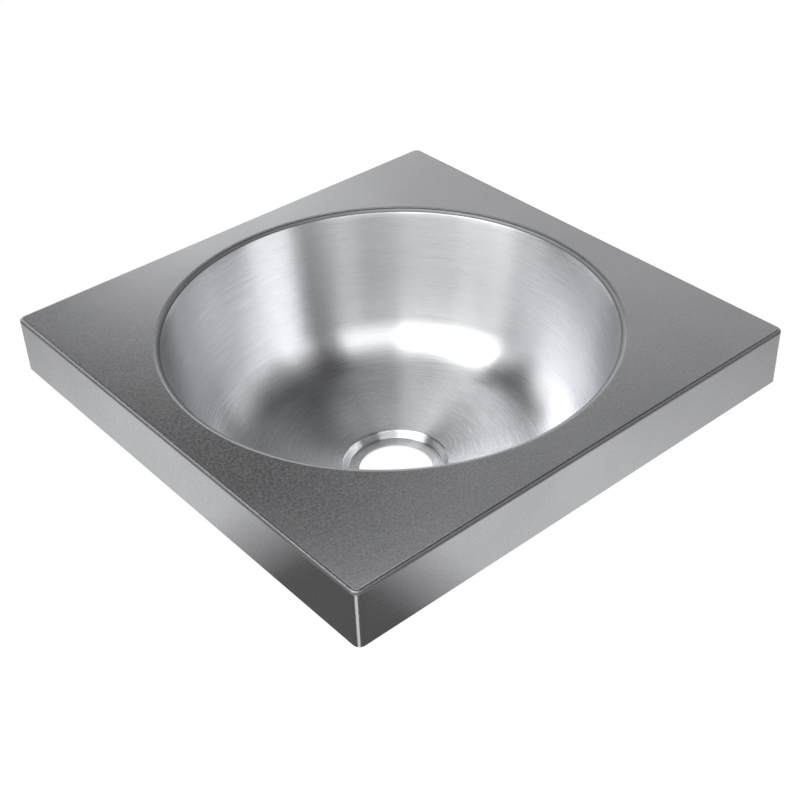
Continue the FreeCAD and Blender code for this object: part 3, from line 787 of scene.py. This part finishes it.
def graduated_card(name, axis, dark, near, far, end):
    """Glow of a card that rises along one axis from dark to its full light, and then falls slowly."""
    material, tree, light, place = glow_material(name)
    along = add(tree, "ShaderNodeSeparateXYZ", {0: place}).outputs[axis]
    rise = spread(tree, along, CARD_DARK, CARD_LIGHT, dark, near)
    fall = spread(tree, along, 1.0, CARD_END, far, end)
    tree.links.new(maths(tree, "MULTIPLY", rise, fall), light)
    return material


def plain_card(name):
    """Glow of an even grey card."""
    material, _, light, _ = glow_material(name)
    light.default_value = CARD_GREY
    return material


def add_card(name, corners, material):
    """A card that is left out of everything but what the metal mirrors."""
    card = staged_plane(name, corners, material)
    card.visible_camera = False
    card.visible_diffuse = False
    card.visible_transmission = False
    card.visible_shadow = False


card_z = (deck_low.z + deck_high.z) / 2 - CARD_DROP
card_x = deck_low.x - CARD_GAP
card_y = deck_low.y - CARD_GAP
left_corners = rectangle((LEFT_CARD_EDGE, card_x), (card_y, LEFT_CARD_BACK), card_z)
left_corners[0] = (LEFT_CARD_EDGE, LEFT_CARD_FRONT, card_z)
front_corners = rectangle((card_x, FRONT_CARD_RIGHT), (FRONT_CARD_EDGE, card_y), card_z)
front_corners[0] = (FRONT_CARD_LEFT, FRONT_CARD_EDGE, card_z)
far_left_corners = rectangle((FAR_LEFT_EDGE, LEFT_CARD_EDGE), (LEFT_CARD_FRONT, FAR_LEFT_BACK), card_z)
far_front_corners = rectangle((FRONT_CARD_LEFT, FAR_FRONT_RIGHT), (FAR_FRONT_EDGE, FRONT_CARD_EDGE), card_z)
add_card("left_card", left_corners, graduated_card("left_card", "Y", *LEFT_CARD_SHADE))
add_card("front_card", front_corners, graduated_card("front_card", "X", *FRONT_CARD_SHADE))
add_card("far_left_card", far_left_corners, plain_card("far_left_card"))
add_card("far_front_card", far_front_corners, plain_card("far_front_card"))

# Studio light all round, as elevations in degrees with the light from there
SKY = [(-90, 1.0), (0, 1.0), (6, 0.5), (28, 0.7), (35, 0.34), (56, 0.02), (78, 0.02), (90, 0.9)]
# Soft boxes and dark screens, each laid over those before it: from and to azimuth, from and to elevation,
# softness of the upright and of the level edges, all in degrees, and the light.
# Azimuth 0 is towards the wall, and 90 is to the right.
PANELS = [
    # Screens low at the front left, with soft boxes above them
    (184, 225, 5, 33, 4, 4, 0.6),
    (225, 258, 5, 33, 4, 4, 0.4),
    (184, 225, 28, 58, 3, 11, 3.3),
    (225, 262, 30, 57, 3, 9, 7.0),
    # Soft boxes on the left
    (262, 297, 33, 57, 3, 4, 9.0),
    (258, 305, 14, 33, 4, 4, 4.5),
    # A screen near the horizon at the back left, and a dark gap and soft boxes above it
    (285, 370, -4, 14, 5, 3, 0.4),
    (306, 324, 15, 32, 4, 4, 0.35),
    (324, 345, 15, 32, 4, 4, 3.2),
    (345, 372, 15, 31, 4, 4, 5.0),
    # Screens low on the right, and a soft box at the front right
    (44, 84, 3, 20, 5, 4, 0.05),
    (84, 115, 5, 38, 5, 4, 0.8),
    (115, 146, 5, 38, 5, 4, 0.4),
    (147, 169, -4, 36, 3, 4, 2.9),
    # Dark screens high on the right, and an upright strip at the front
    (62, 105, 40, 62, 4, 5, 0.0),
    (105, 146, 40, 62, 5, 5, 0.2),
    (147, 169, 40, 62, 5, 4, 0.0),
    (171, 184, 5, 62, 2, 4, 0.6),
    # Small panels at the back, which the deck mirrors
    (26, 37, 24, 30, 4, 2, 1.45),
    (6, 24, 29, 36, 4, 2, 0.1),
    (22, 39, 34, 42, 4, 3, 0.0),
    (26, 50, 47, 58, 5, 4, 1.15),
    # Dark screens high at the back left, and a dim one above the left soft boxes
    (300, 320, 35, 58, 3, 4, 0.0),
    (320, 374, 34, 60, 4, 4, 0.03),
    (225, 297, 60, 72, 8, 4, 1.1),
]
# Light that is mirrored only once is limited near the horizon, so that the deck isn't burnt out from other
# sides: the limit up to one elevation, and the limit from a higher elevation on
PLAIN_LIGHT = 1.45
PLAIN_UP_TO = math.radians(27)
FULL_LIGHT = 9.0
FULL_FROM = math.radians(35)
# The ray depth that Blender counts for light that is mirrored once
MIRRORED_ONCE = 2


def studio_world():
    """The surroundings, drawn by direction."""
    world = bpy.data.worlds.new("studio")
    world.use_nodes = True
    tree = world.node_tree
    direction = add(tree, "ShaderNodeTexCoord").outputs["Generated"]
    part = add(tree, "ShaderNodeSeparateXYZ", {0: direction}).outputs
    azimuth = maths(tree, "ARCTAN2", part["X"], part["Y"])
    elevation = maths(tree, "ARCSINE", part["Z"])

    def within(value, low, high, soft):
        """1 between two angles, falling to 0 over the soft edges."""
        middle = math.radians((low + high) / 2)
        half = math.radians((high - low) / 2)
        edge = math.radians(soft)
        aside = maths(tree, "WRAP", maths(tree, "SUBTRACT", value, middle), math.pi, -math.pi)
        distance = maths(tree, "ABSOLUTE", aside)
        inputs = {"Value": distance, "From Min": half + edge, "From Max": half - edge}
        return add(tree, "ShaderNodeMapRange", inputs, interpolation_type="SMOOTHSTEP").outputs[0]

    def laid_over(below, above, mask):
        """The light above where the mask is 1, and the light below where it is 0."""
        inputs = {"Factor": mask, "A": below, "B": above}
        return add(tree, "ShaderNodeMix", inputs, data_type="FLOAT").outputs[0]

    light = SKY[0][1]
    for (low, _), (high, above) in zip(SKY, SKY[1:]):
        inputs = {"Value": elevation, "From Min": math.radians(low), "From Max": math.radians(high)}
        light = laid_over(light, above, add(tree, "ShaderNodeMapRange", inputs).outputs[0])
    for left, right, bottom, top, side_soft, level_soft, strength in PANELS:
        across = within(azimuth, left, right, side_soft)
        upright = within(elevation, bottom, top, level_soft)
        light = laid_over(light, strength, maths(tree, "MULTIPLY", across, upright))
    limit = spread(tree, elevation, PLAIN_LIGHT, FULL_LIGHT, PLAIN_UP_TO, FULL_FROM)
    plain = maths(tree, "MINIMUM", light, limit)
    depth = add(tree, "ShaderNodeLightPath").outputs["Ray Depth"]
    light = laid_over(plain, light, maths(tree, "GREATER_THAN", depth, MIRRORED_ONCE + 0.5))
    background = tree.nodes["Background"]
    tree.links.new(light, background.inputs["Strength"])
    background.inputs["Color"].default_value = WHITE
    return world


bpy.context.scene.world = studio_world()

# Camera at the photograph's place
CAMERA_PLACE = Vector((-0.50710, -0.80430, 0.61550))
CAMERA_AIM = Vector((-0.05370, -0.25478, 0.086))
CAMERA_ROLL = math.radians(-2.205)
FOCAL_LENGTH = 63.46
SENSOR = 36.0
camera_data = bpy.data.cameras.new("camera")
camera_data.lens = FOCAL_LENGTH
camera_data.sensor_width = SENSOR
camera = bpy.data.objects.new("camera", camera_data)
camera.location = CAMERA_PLACE
camera.rotation_mode = "QUATERNION"
look = (CAMERA_AIM - CAMERA_PLACE).to_track_quat("-Z", "Y")
camera.rotation_quaternion = look @ Matrix.Rotation(CAMERA_ROLL, 3, "Z").to_quaternion()
bpy.context.scene.collection.objects.link(camera)
bpy.context.scene.camera = camera
bpy.context.scene.view_settings.view_transform = "Standard"
